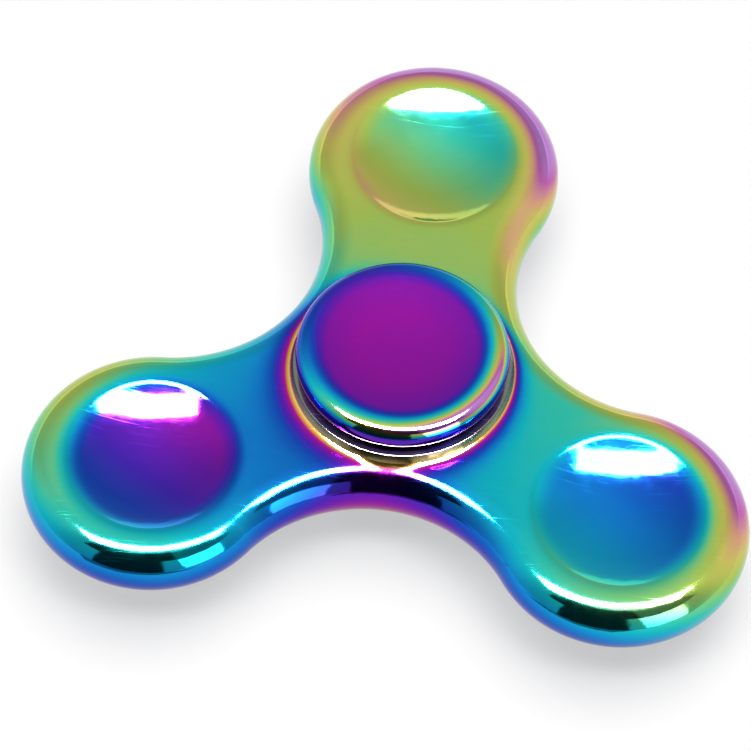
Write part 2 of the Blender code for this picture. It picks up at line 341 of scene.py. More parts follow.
def arc(centre: Point, radius: float, start: float, end: float, steps: int) -> list[Point]:
    """Return steps + 1 points along an arc.

    Args:
        centre: The arc's centre.
        radius: Its radius.
        start: The first angle, in degrees.
        end: The last angle, in degrees.
        steps: How many chords it is drawn with.

    Returns:
        The points in order, both ends included.
    """
    angles = [math.radians(start + (end - start) * k / steps) for k in range(steps + 1)]
    return [polar(radius, angle, centre) for angle in angles]


def turned(profile: list[Point], steps: int = 144, sweep: float = math.tau) -> bmesh.types.BMesh:
    """Turn a profile about Z.

    Args:
        profile: Points of radius and height. One that starts off the axis is closed into a ring.
        steps: How many steps the turn takes.
        sweep: The angle turned through. Less than a full turn gets flat ends.

    Returns:
        A closed bmesh with its normals outwards.
    """
    bm = bmesh.new()
    points = [bm.verts.new((radius, 0.0, height)) for radius, height in profile]
    pairs = list(zip(points, points[1:]))
    if profile[0][0] > 0.0:
        pairs.append((points[-1], points[0]))
    edges = [bm.edges.new(pair) for pair in pairs]
    bmesh.ops.spin(bm, geom=points + edges, cent=(0, 0, 0), axis=(0, 0, 1), dvec=(0, 0, 0),
                   angle=sweep, steps=steps, use_merge=sweep >= math.tau, use_duplicate=False)
    bmesh.ops.remove_doubles(bm, verts=bm.verts, dist=WELD)
    ends = [edge for edge in bm.edges if edge.is_boundary]
    if ends:
        bmesh.ops.holes_fill(bm, edges=ends)
    bmesh.ops.recalc_face_normals(bm, faces=bm.faces)
    return bm


def mirrored(profile: list[Point], side: Side) -> list[Point]:
    """Return a profile for the upper or the lower face."""
    return [(radius, side.value * height) for radius, height in profile]


def make_piece(
    name: str, bm: bmesh.types.BMesh, material: bpy.types.Material, sharp: float = 30.0
) -> bpy.types.Object:
    """Turn a bmesh into a smooth-shaded object at the origin.

    Args:
        name: The piece's name.
        bm: Its shape, which is freed.
        material: Its finish.
        sharp: The angle in degrees past which an edge stays sharp.

    Returns:
        The new object.
    """
    mesh = bpy.data.meshes.new(name)
    bm.to_mesh(mesh)
    bm.free()
    mesh.shade_smooth()
    mesh.set_sharp_from_angle(angle=math.radians(sharp))
    mesh.materials.append(material)
    piece = bpy.data.objects.new(name, mesh)
    bpy.context.scene.collection.objects.link(piece)
    return piece


def store_values(piece: bpy.types.Object, name: str, values: np.ndarray) -> None:
    """Store a value from 0 to 1 at each point of a piece."""
    layer = piece.data.attributes.new(name, "FLOAT", "POINT")
    layer.data.foreach_set("value", values.astype(np.float32))


def points_and_normals(piece: bpy.types.Object) -> tuple[np.ndarray, np.ndarray]:
    """Read a piece's mesh.

    Args:
        piece: The piece to read.

    Returns:
        Its points and their normals, as arrays of rows.
    """
    mesh = piece.data
    places = np.empty(3 * len(mesh.vertices))
    normals = np.empty(3 * len(mesh.vertices))
    mesh.vertices.foreach_get("co", places)
    mesh.vertex_normals.foreach_get("vector", normals)
    return places.reshape(-1, 3), normals.reshape(-1, 3)


def ease(low: float, high: float, values: np.ndarray) -> np.ndarray:
    """Return a smooth step from 0 at low to 1 at high."""
    share = np.clip((values - low) / (high - low), 0.0, 1.0)
    return share * share * (3.0 - 2.0 * share)


def place_piece(piece: bpy.types.Object, body: str, node: str) -> None:
    """Ride a piece on its body in place of its CAD node.

    Args:
        piece: The finished piece.
        body: The body that it moves with.
        node: The CAD node that it stands for.
    """
    piece.visible_diffuse = False
    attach(piece, body)
    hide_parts(node)
    LOG.info("%s: %d faces on %s", piece.name, len(piece.data.polygons), body)


# ---------------------------------------------------------------- body


@dataclass(frozen=True)
class Lobe:
    """One lobe's direction from the hub, and how thick its film grew in each place."""

    angle: float
    neck_film: float
    rim_film: float
    dimple_film: float


@dataclass
class SpinnerBody:
    """The one-piece body: three dished lobes, a fully rounded rim and a collar round the bearing."""

    lobes: tuple[Lobe, ...] = (
        Lobe(math.radians(90), 0.835, 0.897, 0.785),
        Lobe(math.radians(210), 0.545, 0.75, 0.345),
        Lobe(math.radians(330), 0.69, 0.825, 0.53),
    )
    source_pull: tuple[float, float] = (0.09, 0.14)
    slope_loss: float = 0.17
    edge_gain: float = 0.06
    thinnest: float = 0.04
    shaded_side: float = math.radians(240)
    shade_width: tuple[float, float] = (0.95 * MM, 0.60 * MM)
    lobe_distance: float = 28.0 * MM
    lobe_radius: float = 13.6 * MM
    waist_radius: float = 15.65 * MM
    rim_radius: float = 3.54 * MM
    dimple_radius: float = 9.2 * MM
    dimple_sphere: float = 18.4 * MM
    dimple_edge: float = 1.6 * MM
    foot_radius: float = 11.8 * MM
    flare_radius: float = 1.4 * MM
    flare_width: float = 0.7 * MM
    collar_radius: float = 11.42 * MM
    collar_height: float = 4.5 * MM
    collar_round: float = 0.12 * MM
    bore_radius: float = 6.45 * MM
    bore_chamfer: float = 0.5 * MM
    outline_step: float = math.radians(2.5)
    rim_steps: int = 14
    rim_reach: float = math.radians(50)
    rim_rounds: tuple[float, ...] = tuple(math.radians(angle) for angle in range(54, 91, 4))
    rim_margin: float = 0.12 * MM
    hub_points: int = 240
    flare_rings: int = 8
    dimple_rings: int = 33
    dimple_ring_gap: float = 0.3 * MM
    dimple_reach: float = 9.9 * MM
    filler_pitch: float = 0.8 * MM
    filler_rows: int = 60
    filler_reach: float = 10.3 * MM

    @property
    def spacing(self) -> float:
        """Half the angle between two lobes."""
        return math.pi / len(self.lobes)

    @property
    def waist_distance(self) -> float:
        """How far each waist's centre lies from the hub, so that its arc meets both lobes smoothly."""
        reach = self.lobe_radius + self.waist_radius
        across = self.lobe_distance * math.sin(self.spacing)
        return self.lobe_distance * math.cos(self.spacing) + math.sqrt(reach**2 - across**2)

    @property
    def lean(self) -> float:
        """The angle at a lobe's centre from its far end to where the waist begins."""
        across = self.waist_distance * math.sin(self.spacing)
        return math.atan2(across, self.waist_distance * math.cos(self.spacing) - self.lobe_distance)

    def turns(self, limit: float) -> list[float]:
        """Return even turns between two limits, with the limits themselves."""
        most = math.floor(limit / self.outline_step)
        return [-limit, *(self.outline_step * k for k in range(-most, most + 1)), limit]

    def outline(self, inset: float) -> list[Point]:
        """Return the outline moved inwards by an inset, as one closed loop."""
        points = []
        for lobe in self.lobes:
            centre = polar(self.lobe_distance, lobe.angle)
            waist = polar(self.waist_distance, lobe.angle + self.spacing)
            to_hub = lobe.angle + self.spacing + math.pi
            lobe_turns = self.turns(self.lean)
            points += [polar(self.lobe_radius - inset, lobe.angle + t, centre) for t in lobe_turns]
            waist_turns = self.turns(self.lean - self.spacing)[1:-1]
            points += [polar(self.waist_radius + inset, to_hub - t, waist) for t in waist_turns]
        return points

    def lobe_offsets(self, places: np.ndarray) -> np.ndarray:
        """Return each point's distance from each lobe's centre, one column for each lobe."""
        columns = []
        for lobe in self.lobes:
            x, y = polar(self.lobe_distance, lobe.angle)
            columns.append(np.hypot(places[:, 0] - x, places[:, 1] - y))
        return np.stack(columns, axis=1)

    def insets(self, places: np.ndarray) -> np.ndarray:
        """Return how far inside the outline each point lies."""
        angles = np.arctan2(places[:, 1], places[:, 0]) - self.lobes[0].angle
        pitch = 2 * self.spacing
        folded = np.abs(angles - pitch * np.round(angles / pitch))
        radii = np.hypot(places[:, 0], places[:, 1])
        x, y = radii * np.cos(folded), radii * np.sin(folded)
        at_lobe = np.arctan2(y, x - self.lobe_distance) < self.lean
        from_lobe = self.lobe_radius - np.hypot(x - self.lobe_distance, y)
        waist_x, waist_y = polar(self.waist_distance, self.spacing)
        from_waist = np.hypot(x - waist_x, y - waist_y) - self.waist_radius
        return np.where(at_lobe, from_lobe, from_waist)

    def heights(self, places: np.ndarray) -> np.ndarray:
        """Return the upper face's height over each point inside the outline.

        The rim is a quarter round, the flare a fillet that climbs to the collar's foot, and each
        dimple a spherical bowl with a rounded edge.
        """
        inset = np.clip(self.insets(places), 0.0, self.rim_radius)
        height = np.sqrt(self.rim_radius**2 - (self.rim_radius - inset) ** 2)
        hub = np.hypot(places[:, 0], places[:, 1])
        run = np.clip(self.foot_radius + self.flare_width - hub, 0.0, self.flare_width)
        height += self.flare_radius - np.sqrt(self.flare_radius**2 - run**2)
        return height - self.dimple_depths(self.lobe_offsets(places).min(axis=1))

    def dimple_depths(self, offset: np.ndarray) -> np.ndarray:
        """Return how deep the dimple is at each distance from its centre."""
        sphere, edge = self.dimple_sphere, self.dimple_edge
        rise = math.sqrt(sphere**2 - self.dimple_radius**2)
        edge_centre = math.sqrt((sphere + edge) ** 2 - (rise + edge) ** 2)
        tangent = edge_centre * sphere / (sphere + edge)
        bowl = np.sqrt(np.maximum(sphere**2 - offset**2, 0.0)) - rise
        back = np.clip(edge_centre - offset, 0.0, edge)
        rounded = edge - np.sqrt(edge**2 - back**2)
        return np.where(offset < tangent, bowl, rounded)

    def ring(self, radius: float, count: int, number: int, centre: Point = (0.0, 0.0)) -> list[Point]:
        """Return a ring of points, staggered by half a step when its number is odd.

        Args:
            radius: The ring's radius.
            count: How many points it has.
            number: The ring's number, counted outwards.
            centre: The ring's centre.

        Returns:
            The points in order.
        """
        shift = 0.5 * (number % 2)
        return [polar(radius, math.tau * (k + shift) / count, centre) for k in range(count)]

    def rim_points(self, rim_inset: float) -> list[Point]:
        """Return the points round the flare and in rows that follow the outline.

        Args:
            rim_inset: How far inside the outline the face's outer loop lies.

        Returns:
            The flare's points, then the rows' points, clear of the outer loop, flare and dimples.
        """
        points: list[Point] = []
        for number in range(1, self.flare_rings + 1):
            radius = self.foot_radius + number * (1.2 * self.flare_width) / 6
            points += self.ring(radius, self.hub_points, number)
        insets = [self.rim_radius * (1 - math.cos(angle)) for angle in self.rim_rounds]
        for inset in [*insets, self.rim_radius + 0.25 * MM]:
            points += self.outline(inset)
        rows = np.array(points)
        hub = np.hypot(rows[:, 0], rows[:, 1])
        near_flare = hub < self.foot_radius + 1.6 * self.flare_width
        of_flare = np.arange(len(rows)) < self.flare_rings * self.hub_points
        inside = self.insets(rows) > rim_inset + self.rim_margin
        past_dimple = self.lobe_offsets(rows).min(axis=1) > self.dimple_reach
        kept = rows[inside & (of_flare | (~near_flare & past_dimple))]
        return [tuple(row) for row in kept]

    def dimple_points(self) -> list[Point]:
        """Return the rings of points that follow the three dimples."""
        points: list[Point] = []
        for lobe in self.lobes:
            centre = polar(self.lobe_distance, lobe.angle)
            points.append(centre)
            for number in range(1, self.dimple_rings + 1):
                count = 24 if number < 4 else 48 if number < 10 else 96
                points += self.ring(number * self.dimple_ring_gap, count, number, centre)
        return points

    def filler_points(self) -> list[Point]:
        """Return an even grid of points over the flat of the face, clear of the shaped parts."""
        pitch, steps = self.filler_pitch, range(-self.filler_rows, self.filler_rows + 1)
        grid = np.array([
            (pitch * (column + 0.5 * (row % 2)), pitch * 0.866 * row)
            for row in steps for column in steps
        ])
        clear = self.insets(grid) > self.rim_radius + 0.55 * MM
        clear &= np.hypot(grid[:, 0], grid[:, 1]) > self.foot_radius + 2.0 * self.flare_width
        clear &= self.lobe_offsets(grid).min(axis=1) > self.filler_reach
        return [tuple(row) for row in grid[clear]]

    def face_points(self) -> tuple[list[Point], int, int]:
        """Lay out a face: its outer loop, its inner loop, then points that follow its shape.

        Returns:
            The points, the size of the outer loop and the size of the inner loop.
        """
        rim_inset = self.rim_radius * (1 - math.cos(self.rim_reach))
        outer = self.outline(rim_inset)
        inner = self.ring(self.foot_radius, self.hub_points, 0)
        shaped = self.rim_points(rim_inset) + self.dimple_points() + self.filler_points()
        return outer + inner + shaped, len(outer), len(inner)

    def add_face(self, bm: bmesh.types.BMesh, side: Side) -> None:
        """Add the upper or lower face, meshed so that its points follow the rim, dimples and flare."""
        points, outer, inner = self.face_points()
        loops = [(k, (k + 1) % outer) for k in range(outer)]
        loops += [(outer + k, outer + (k + 1) % inner) for k in range(inner)]
        flat, _, faces, *_ = delaunay_2d_cdt([Vector(p) / MM for p in points], loops, [], 2, 1e-5)
        places = np.array([tuple(p) for p in flat]) * MM
        heights = self.heights(places)
        corners = [bm.verts.new((x, y, side.value * z)) for (x, y), z in zip(places, heights)]
        middles = np.array([places[list(face)].mean(axis=0) for face in faces])
        hole_radius = self.foot_radius * math.cos(math.pi / self.hub_points)
        beyond = np.hypot(middles[:, 0], middles[:, 1]) < hole_radius
        for face, hole in zip(faces, beyond):
            if not hole:
                bm.faces.new([corners[k] for k in face])

    def add_loop(
        self, bm: bmesh.types.BMesh, places: list[tuple[float, float, float]]
    ) -> list[bmesh.types.BMEdge]:
        """Add one closed loop of edges and return them."""
        corners = [bm.verts.new(place) for place in places]
        return [bm.edges.new(pair) for pair in zip(corners, corners[1:] + corners[:1])]

    def add_rim(self, bm: bmesh.types.BMesh) -> None:
        """Bridge the rounded rim from the upper face round to the lower one."""
        loops = []
        for step in range(-self.rim_steps, self.rim_steps + 1):
            lift = self.rim_reach * -step / self.rim_steps
            points = self.outline(self.rim_radius * (1 - math.cos(lift)))
            height = self.rim_radius * math.sin(lift)
            loops.append(self.add_loop(bm, [(x, y, height) for x, y in points]))
        for upper, lower in zip(loops, loops[1:]):
            bmesh.ops.bridge_loops(bm, edges=upper + lower)

    def collar_profile(self) -> list[Point]:
        """Return the collar from above its foot, over its rounded edge and down to the bore's middle."""
        top, edge = self.collar_height, self.collar_round
        mouth = self.bore_radius + self.bore_chamfer
        return [
            *arc((self.collar_radius - edge, top - edge), edge, 25, 90, 4),
            (mouth, top),
            (self.bore_radius, top - self.bore_chamfer),
        ]

    def add_collar(self, bm: bmesh.types.BMesh) -> None:
        """Bridge the collar from the upper face's foot, through the bore, to the lower one's."""
        angles = [math.tau * k / self.hub_points for k in range(self.hub_points)]
        foot = np.array([polar(self.foot_radius, angle) for angle in angles])
        foot_heights = self.heights(foot)
        sections = [[(x, y, z) for (x, y), z in zip(foot, foot_heights)]]
        profile = self.collar_profile()
        profile += mirrored(profile, Side.LOWER)[::-1]
        for radius, height in profile:
            sections.append([(*polar(radius, angle), height) for angle in angles])
        sections.append([(x, y, -z) for (x, y), z in zip(foot, foot_heights)])
        loops = [self.add_loop(bm, section) for section in sections]
        for upper, lower in zip(loops, loops[1:]):
            bmesh.ops.bridge_loops(bm, edges=upper + lower)

    def top_film(self, places: np.ndarray) -> np.ndarray:
        """Return how thick the plating would be over each point of a flat face with no dimples."""
        nearness = 1.0 / (self.lobe_offsets(places) + 2 * MM) ** 3
        nearness /= nearness.sum(axis=1, keepdims=True)
        directions = np.array([polar(1.0, lobe.angle) for lobe in self.lobes])
        outward = (places[:, :2] @ directions.T).max(axis=1)
        neck = nearness @ np.array([lobe.neck_film for lobe in self.lobes])
        rim = nearness @ np.array([lobe.rim_film for lobe in self.lobes])
        along = (nearness @ directions * places[:, :2]).sum(axis=1)
        across = places[:, 1] - outward * (nearness @ directions)[:, 1]
        towards_rim = ease(16 * MM, 34 * MM, np.maximum(outward, along))
        return neck + (rim - neck) * towards_rim + 5.5 * across

    def film(self, places: np.ndarray, normals: np.ndarray) -> np.ndarray:
        """Return how thick the plating grew, from 0 to 1, at each point.

        It grew thick on rims, thinner in the dimples, and thinner still down the sides. Slopes that
        faced the plating source took more. The collar shaded the corner at its foot, most of all on
        the side away from the source.

        Args:
            places: The points, one row each.
            normals: Their normals.

        Returns:
            The film value of each point.
        """
        offset = self.lobe_offsets(places).min(axis=1)
        nearest = self.lobe_offsets(places).argmin(axis=1)
        hub = np.hypot(places[:, 0], places[:, 1])
        level = self.top_film(places)
        dimple = np.array([lobe.dimple_film for lobe in self.lobes])[nearest]
        bowl = 1.0 - ease(6.9 * MM, 10.4 * MM, offset)
        level += (dimple - level) * bowl
        at_edge = 1.0 - ease(1.5 * MM, 3.8 * MM, self.insets(places))
        level += self.edge_gain * at_edge * ease(15 * MM, 20 * MM, hub)
        pull = (normals[:, :2] @ np.array(self.source_pull)) * (1.0 + 0.6 * bowl)
        level += pull - self.slope_loss * (1.0 - normals[:, 2]) ** 1.5
        middle, swing = self.shade_width
        facing = np.arctan2(places[:, 1], places[:, 0]) - self.shaded_side
        width = middle + swing * np.cos(facing)
        corner = np.exp(-np.maximum(hub - self.foot_radius, 0.0) / width)
        return np.clip(level * (1.0 - corner), self.thinnest, 1.0)

    def build(self) -> None:
        """Build, plate and place the body."""
        bm = bmesh.new()
        for side in Side:
            self.add_face(bm, side)
        self.add_rim(bm)
        self.add_collar(bm)
        bmesh.ops.remove_doubles(bm, verts=bm.verts, dist=0.002 * MM)
        bmesh.ops.recalc_face_normals(bm, faces=bm.faces)
        LOG.info("open edges on the body: %d", sum(edge.is_boundary for edge in bm.edges))
        plate = RainbowPlate("rainbow_plated_zinc_body").material()
        piece = make_piece("body", bm, plate, sharp=25.0)
        places, normals = points_and_normals(piece)
        hub = np.hypot(places[:, 0], places[:, 1])
        store_values(piece, FILM, self.film(places, normals))
        # painted shade: the collar's wall, top and bore, in the gap under the caps, are coloured flat
        # grey
        store_values(piece, GREY_POST_AND_GAP_SHADE, 1.0 - ease(self.collar_radius + 0.1 * MM, self.foot_radius, hub))
        place_piece(piece, Body.SPINNER.value, "spinner_body")


# ---------------------------------------------------------------- caps


@dataclass
class ThumbCap:
    """A dished thumb cap with a rounded edge, and the post that clamps the bearing."""

    side: Side
    radius: float = 11.17 * MM
    edge: float = 1.54 * MM
    underside: float = 4.84 * MM
    dish_radius: float = 9.0 * MM
    dish_depth: float = 0.9 * MM
    shoulder: Point = (4.0 * MM, 2.481 * MM)
    post_radius: float = 3.075 * MM
    post_end: float = 0.1 * MM
    stud_radius: float = 1.9 * MM
    stud_end: float = -5.4 * MM
    socket_radius: float = 2.0 * MM
    socket_end: float = 5.8 * MM
    thick_side: float = math.radians(315)
    side_loss: float = 0.95

    def core_profile(self) -> list[Point]:
        """Return the stud of the upper cap, or the socket of the lower one."""
        if self.side is Side.UPPER:
            tip = 0.3 * MM
            return [(0.0, self.stud_end), (self.stud_radius - tip, self.stud_end),
                    (self.stud_radius, self.stud_end + tip), (self.stud_radius, self.post_end)]
        return [(0.0, self.socket_end), (self.socket_radius, self.socket_end),
                (self.socket_radius, self.post_end)]

    def profile(self) -> list[Point]:
        """Return the whole cap's profile, drawn for the upper side."""
        middle = self.underside + self.edge
        top = middle + self.edge
        sphere = (self.dish_radius**2 + self.dish_depth**2) / (2 * self.dish_depth)
        dish = []
        for step in range(37):
            radius = self.dish_radius * (1 - step / 36)
            dish.append((radius, top - self.dish_depth + sphere - math.sqrt(sphere**2 - radius**2)))
        return [
            *self.core_profile(),
            (self.post_radius, self.post_end),
            (self.post_radius, self.shoulder[1]),
            self.shoulder,
            (self.shoulder[0], self.underside),
            *arc((self.radius - self.edge, middle), self.edge, -90, 90, 36),
            *dish,
        ]

    def film(self, places: np.ndarray, normals: np.ndarray) -> np.ndarray:
        """Return how thick the plating grew: thin in the dish and thick over one edge.

        Args:
            places: The points, one row each.
            normals: Their normals.

        Returns:
            The film value of each point, from 0 to 1.
        """
        hub = np.hypot(places[:, 0], places[:, 1])
        facing = np.cos(np.arctan2(places[:, 1], places[:, 0]) - self.thick_side)
        growth = (0.46 + 0.31 * facing) * ease(7.6 * MM, 10.6 * MM, hub)
        dish = 0.235 + 0.02 * facing * hub / self.dish_radius + 0.035 * ease(4 * MM, 8 * MM, hub)
        down_side = 1.0 - ease(0.3, 0.86, normals[:, 2] * self.side.value)
        loss = self.side_loss * down_side * ease(9.8 * MM, 10.3 * MM, hub)
        return np.clip(dish + growth * (1.0 - loss), 0.0, 1.0)

    def build(self) -> None:
        """Build, plate and place the cap."""
        name = "upper_cap" if self.side is Side.UPPER else "lower_cap"
        bm = turned(mirrored(self.profile(), self.side), steps=180)
        plate = RainbowPlate(f"rainbow_plated_zinc_{name}").material()
        piece = make_piece(f"{name}_plated", bm, plate)
        places, normals = points_and_normals(piece)
        hub = np.hypot(places[:, 0], places[:, 1])
        store_values(piece, FILM, self.film(places, normals))
        # the post and shoulder under the cap are coloured the same grey as the painted gap shade
        on_post = hub < self.shoulder[0] + 0.1 * MM
        store_values(piece, GREY_POST_AND_GAP_SHADE, on_post * (np.abs(places[:, 2]) < self.underside + 0.1 * MM))
        place_piece(piece, Body.CAPS.value, name)


# ---------------------------------------------------------------- bearing


@dataclass
class BallBearing:
    """The shielded ball bearing in the hub: its rings, balls, cage, shields and split rings."""

    bore: float = 3.175 * MM
    outer: float = 6.35 * MM
    half_width: float = 2.381 * MM
    corner: float = 0.2 * MM
    pitch: float = 4.7625 * MM
    ball: float = 0.79375 * MM
    ball_count: int = 10
    inner_land: float = 4.2 * MM
    outer_land: float = 5.25 * MM
    shield_step: Point = (5.65 * MM, 1.85 * MM)
    shield: tuple[float, float, float, float] = (4.32 * MM, 5.58 * MM, 1.93 * MM, 2.08 * MM)
    snap_ring: tuple[float, float, float, float] = (5.25 * MM, 5.58 * MM, 2.16 * MM, 2.34 * MM)
    snap_sweep: float = math.radians(330)

    def groove(self, land: float, facing: float) -> list[Point]:
        """Return a ring's ball groove.

        Args:
            land: The radius of the land beside the groove.
            facing: 1 for a groove that faces outwards, -1 for one that faces inwards.

        Returns:
            The groove's points in order.
        """
        radius = self.ball + 0.08 * MM
        lean = math.degrees(math.acos(abs(self.pitch - land) / radius))
        middle = 180.0 if facing > 0 else 0.0
        return arc((self.pitch, 0.0), radius, middle - facing * lean, middle + facing * lean, 18)

    def corners(self, radius: float, facing: float) -> list[Point]:
        """Return a ring's two rounded corners, from its lower face to its upper one.

        Args:
            radius: The radius of the face between the corners.
            facing: 1 for the outer ring's outside, -1 for the inner ring's bore.

        Returns:
            The corners' points in order.
        """
        centre, reach = radius - facing * self.corner, self.half_width - self.corner
        start = 0.0 if facing > 0 else 180.0
        lower = arc((centre, -reach), self.corner, start - facing * 90.0, start, 5)
        return lower + arc((centre, reach), self.corner, start, start + facing * 90.0, 5)

    def add_rings(self, steel: bpy.types.Material) -> None:
        """Add the inner ring, which rides with the caps, and the outer one, which rides with the body."""
        side, (step, lip) = self.half_width, self.shield_step
        inner = [*self.corners(self.bore, -1.0), (self.inner_land, side),
                 *self.groove(self.inner_land, 1.0), (self.inner_land, -side)]
        outer = [*self.corners(self.outer, 1.0), (step, side), (step, lip), (self.outer_land, lip),
                 *self.groove(self.outer_land, -1.0), (self.outer_land, -lip), (step, -lip),
                 (step, -side)]
        rings = (("inner_ring", inner, Body.CAPS), ("outer_ring", outer, Body.SPINNER))
        for name, profile, body in rings:
            piece = make_piece(name, turned(profile), steel)
            place_piece(piece, body.value, f"bearing_{name}")

    def add_balls(self, steel: bpy.types.Material) -> None:
        """Add the balls, each riding with its own rolling body."""
        for number in range(1, self.ball_count + 1):
            x, y = polar(self.pitch, math.tau * (number - 1) / self.ball_count)
            bm = bmesh.new()
            bmesh.ops.create_uvsphere(bm, u_segments=40, v_segments=20, radius=self.ball)
            bmesh.ops.translate(bm, verts=bm.verts, vec=(x, y, 0.0))
            name = f"ball_{number:02d}"
            place_piece(make_piece(name, bm, steel), name, f"bearing_{name}")

    def add_closures(
        self, shield_steel: bpy.types.Material, spring_steel: bpy.types.Material
    ) -> None:
        """Add the shields, with a raised bead near the bore, and the split rings that hold them.

        Args:
            shield_steel: The shields' finish.
            spring_steel: The split rings' finish.
        """
        inner, outer, bottom, top = self.shield
        bead = 0.03 * MM
        shield = [(inner, bottom), (outer, bottom), (outer, top - bead), (outer - bead, top),
                  (inner + 0.45 * MM, top), (inner + 0.4 * MM, top - bead),
                  (inner + 0.2 * MM, top - bead), (inner + 0.15 * MM, top),
                  (inner + bead, top), (inner, top - bead)]
        near, far, low, high = self.snap_ring
        cut = 0.05 * MM
        snap = [(near, low + cut), (near + cut, low), (far - cut, low), (far, low + cut),
                (far, high - cut), (far - cut, high), (near + cut, high), (near, high - cut)]
        for side in Side:
            word = side.name.lower()
            plate = turned(mirrored(shield, side))
            cover = make_piece(f"{word}_shield_plate", plate, shield_steel)
            place_piece(cover, Body.SPINNER.value, f"{word}_shield")
            split = turned(mirrored(snap, side), 132, self.snap_sweep)
            ring = make_piece(f"{word}_split_ring", split, spring_steel)
            place_piece(ring, Body.SPINNER.value, f"{word}_snap_ring")

    def build(self) -> None:
        """Build the bearing's pieces and dress the cage, which keeps its CAD shape."""
        steel = TurnedSteel("ground_bearing_steel").material()
        self.add_rings(steel)
        self.add_balls(steel)
        self.add_closures(TurnedSteel("pressed_shield_steel", "#A9ABAD", 0.3, 0.2 * MM).material(),
                          TurnedSteel("blued_spring_steel", "#8E9096", 0.35, 0.15 * MM).material())
        cage = frame["nodes"]["ball_cage"]
        cage_steel = TurnedSteel("stamped_cage_steel", "#B0A894", 0.34, 0.25 * MM)
        cage.data.materials.clear()
        cage.data.materials.append(cage_steel.material())


# ---------------------------------------------------------------- studio


@dataclass(frozen=True)
class Softbox:
    """A rectangular light by its distance, its turn from the camera and its rise, in metres and degrees.

    It shows in the metal only, so that the table's shadow stays plain.
    """

    name: str
    size: Point
    distance: float
    turn: float
    rise: float
    power: float


@dataclass(frozen=True)
class TableLight:
    """A distant light for the table, by its turn from the camera, its rise and its spread, in degrees."""

    name: str
    turn: float
    rise: float
    strength: float
    spread: float
    colour: Colour
    casts: bool


@dataclass(frozen=True)
class Panel:
    """A soft-edged panel of the room, in degrees of turn from the camera and of rise above the table."""

    turns: Point
    rises: Point
    level: float
    softness: Point

    def laid_over(
        self,
        tree: bpy.types.NodeTree,
        behind: bpy.types.NodeSocket,
        turn: bpy.types.NodeSocket,
        rise: bpy.types.NodeSocket,
    ) -> bpy.types.NodeSocket:
        """Lay the panel over what lies behind it.

        Args:
            tree: The world's node tree.
            behind: The glow behind the panel.
            turn: The turn from the camera, in radians.
            rise: The rise above the table, in radians.

        Returns:
            The glow with the panel in front.
        """
        cover = None
        ranges = ((turn, self.turns, self.softness[0]), (rise, self.rises, self.softness[1]))
        for value, (low, high), softness in ranges:
            half = math.radians(softness) / 2
            for edge, sign in ((math.radians(low), 1.0), (math.radians(high), -1.0)):
                fade = add_node(tree, "ShaderNodeMapRange", {"interpolation_type": "SMOOTHSTEP"},
                                Value=value, From_Min=edge - sign * half,
                                From_Max=edge + sign * half)
                part = fade.outputs["Result"]
                if cover is not None:
                    both = add_node(tree, "ShaderNodeMath", {"operation": "MULTIPLY"},
                                    in_0=cover, in_1=part)
                    part = both.outputs[0]
                cover = part
        mixed = add_node(tree, "ShaderNodeMix", {"data_type": "RGBA"}, in_0=cover, in_6=behind)
        mixed.inputs[7].default_value = (self.level, self.level, self.level, 1.0)
        return mixed.outputs[2]


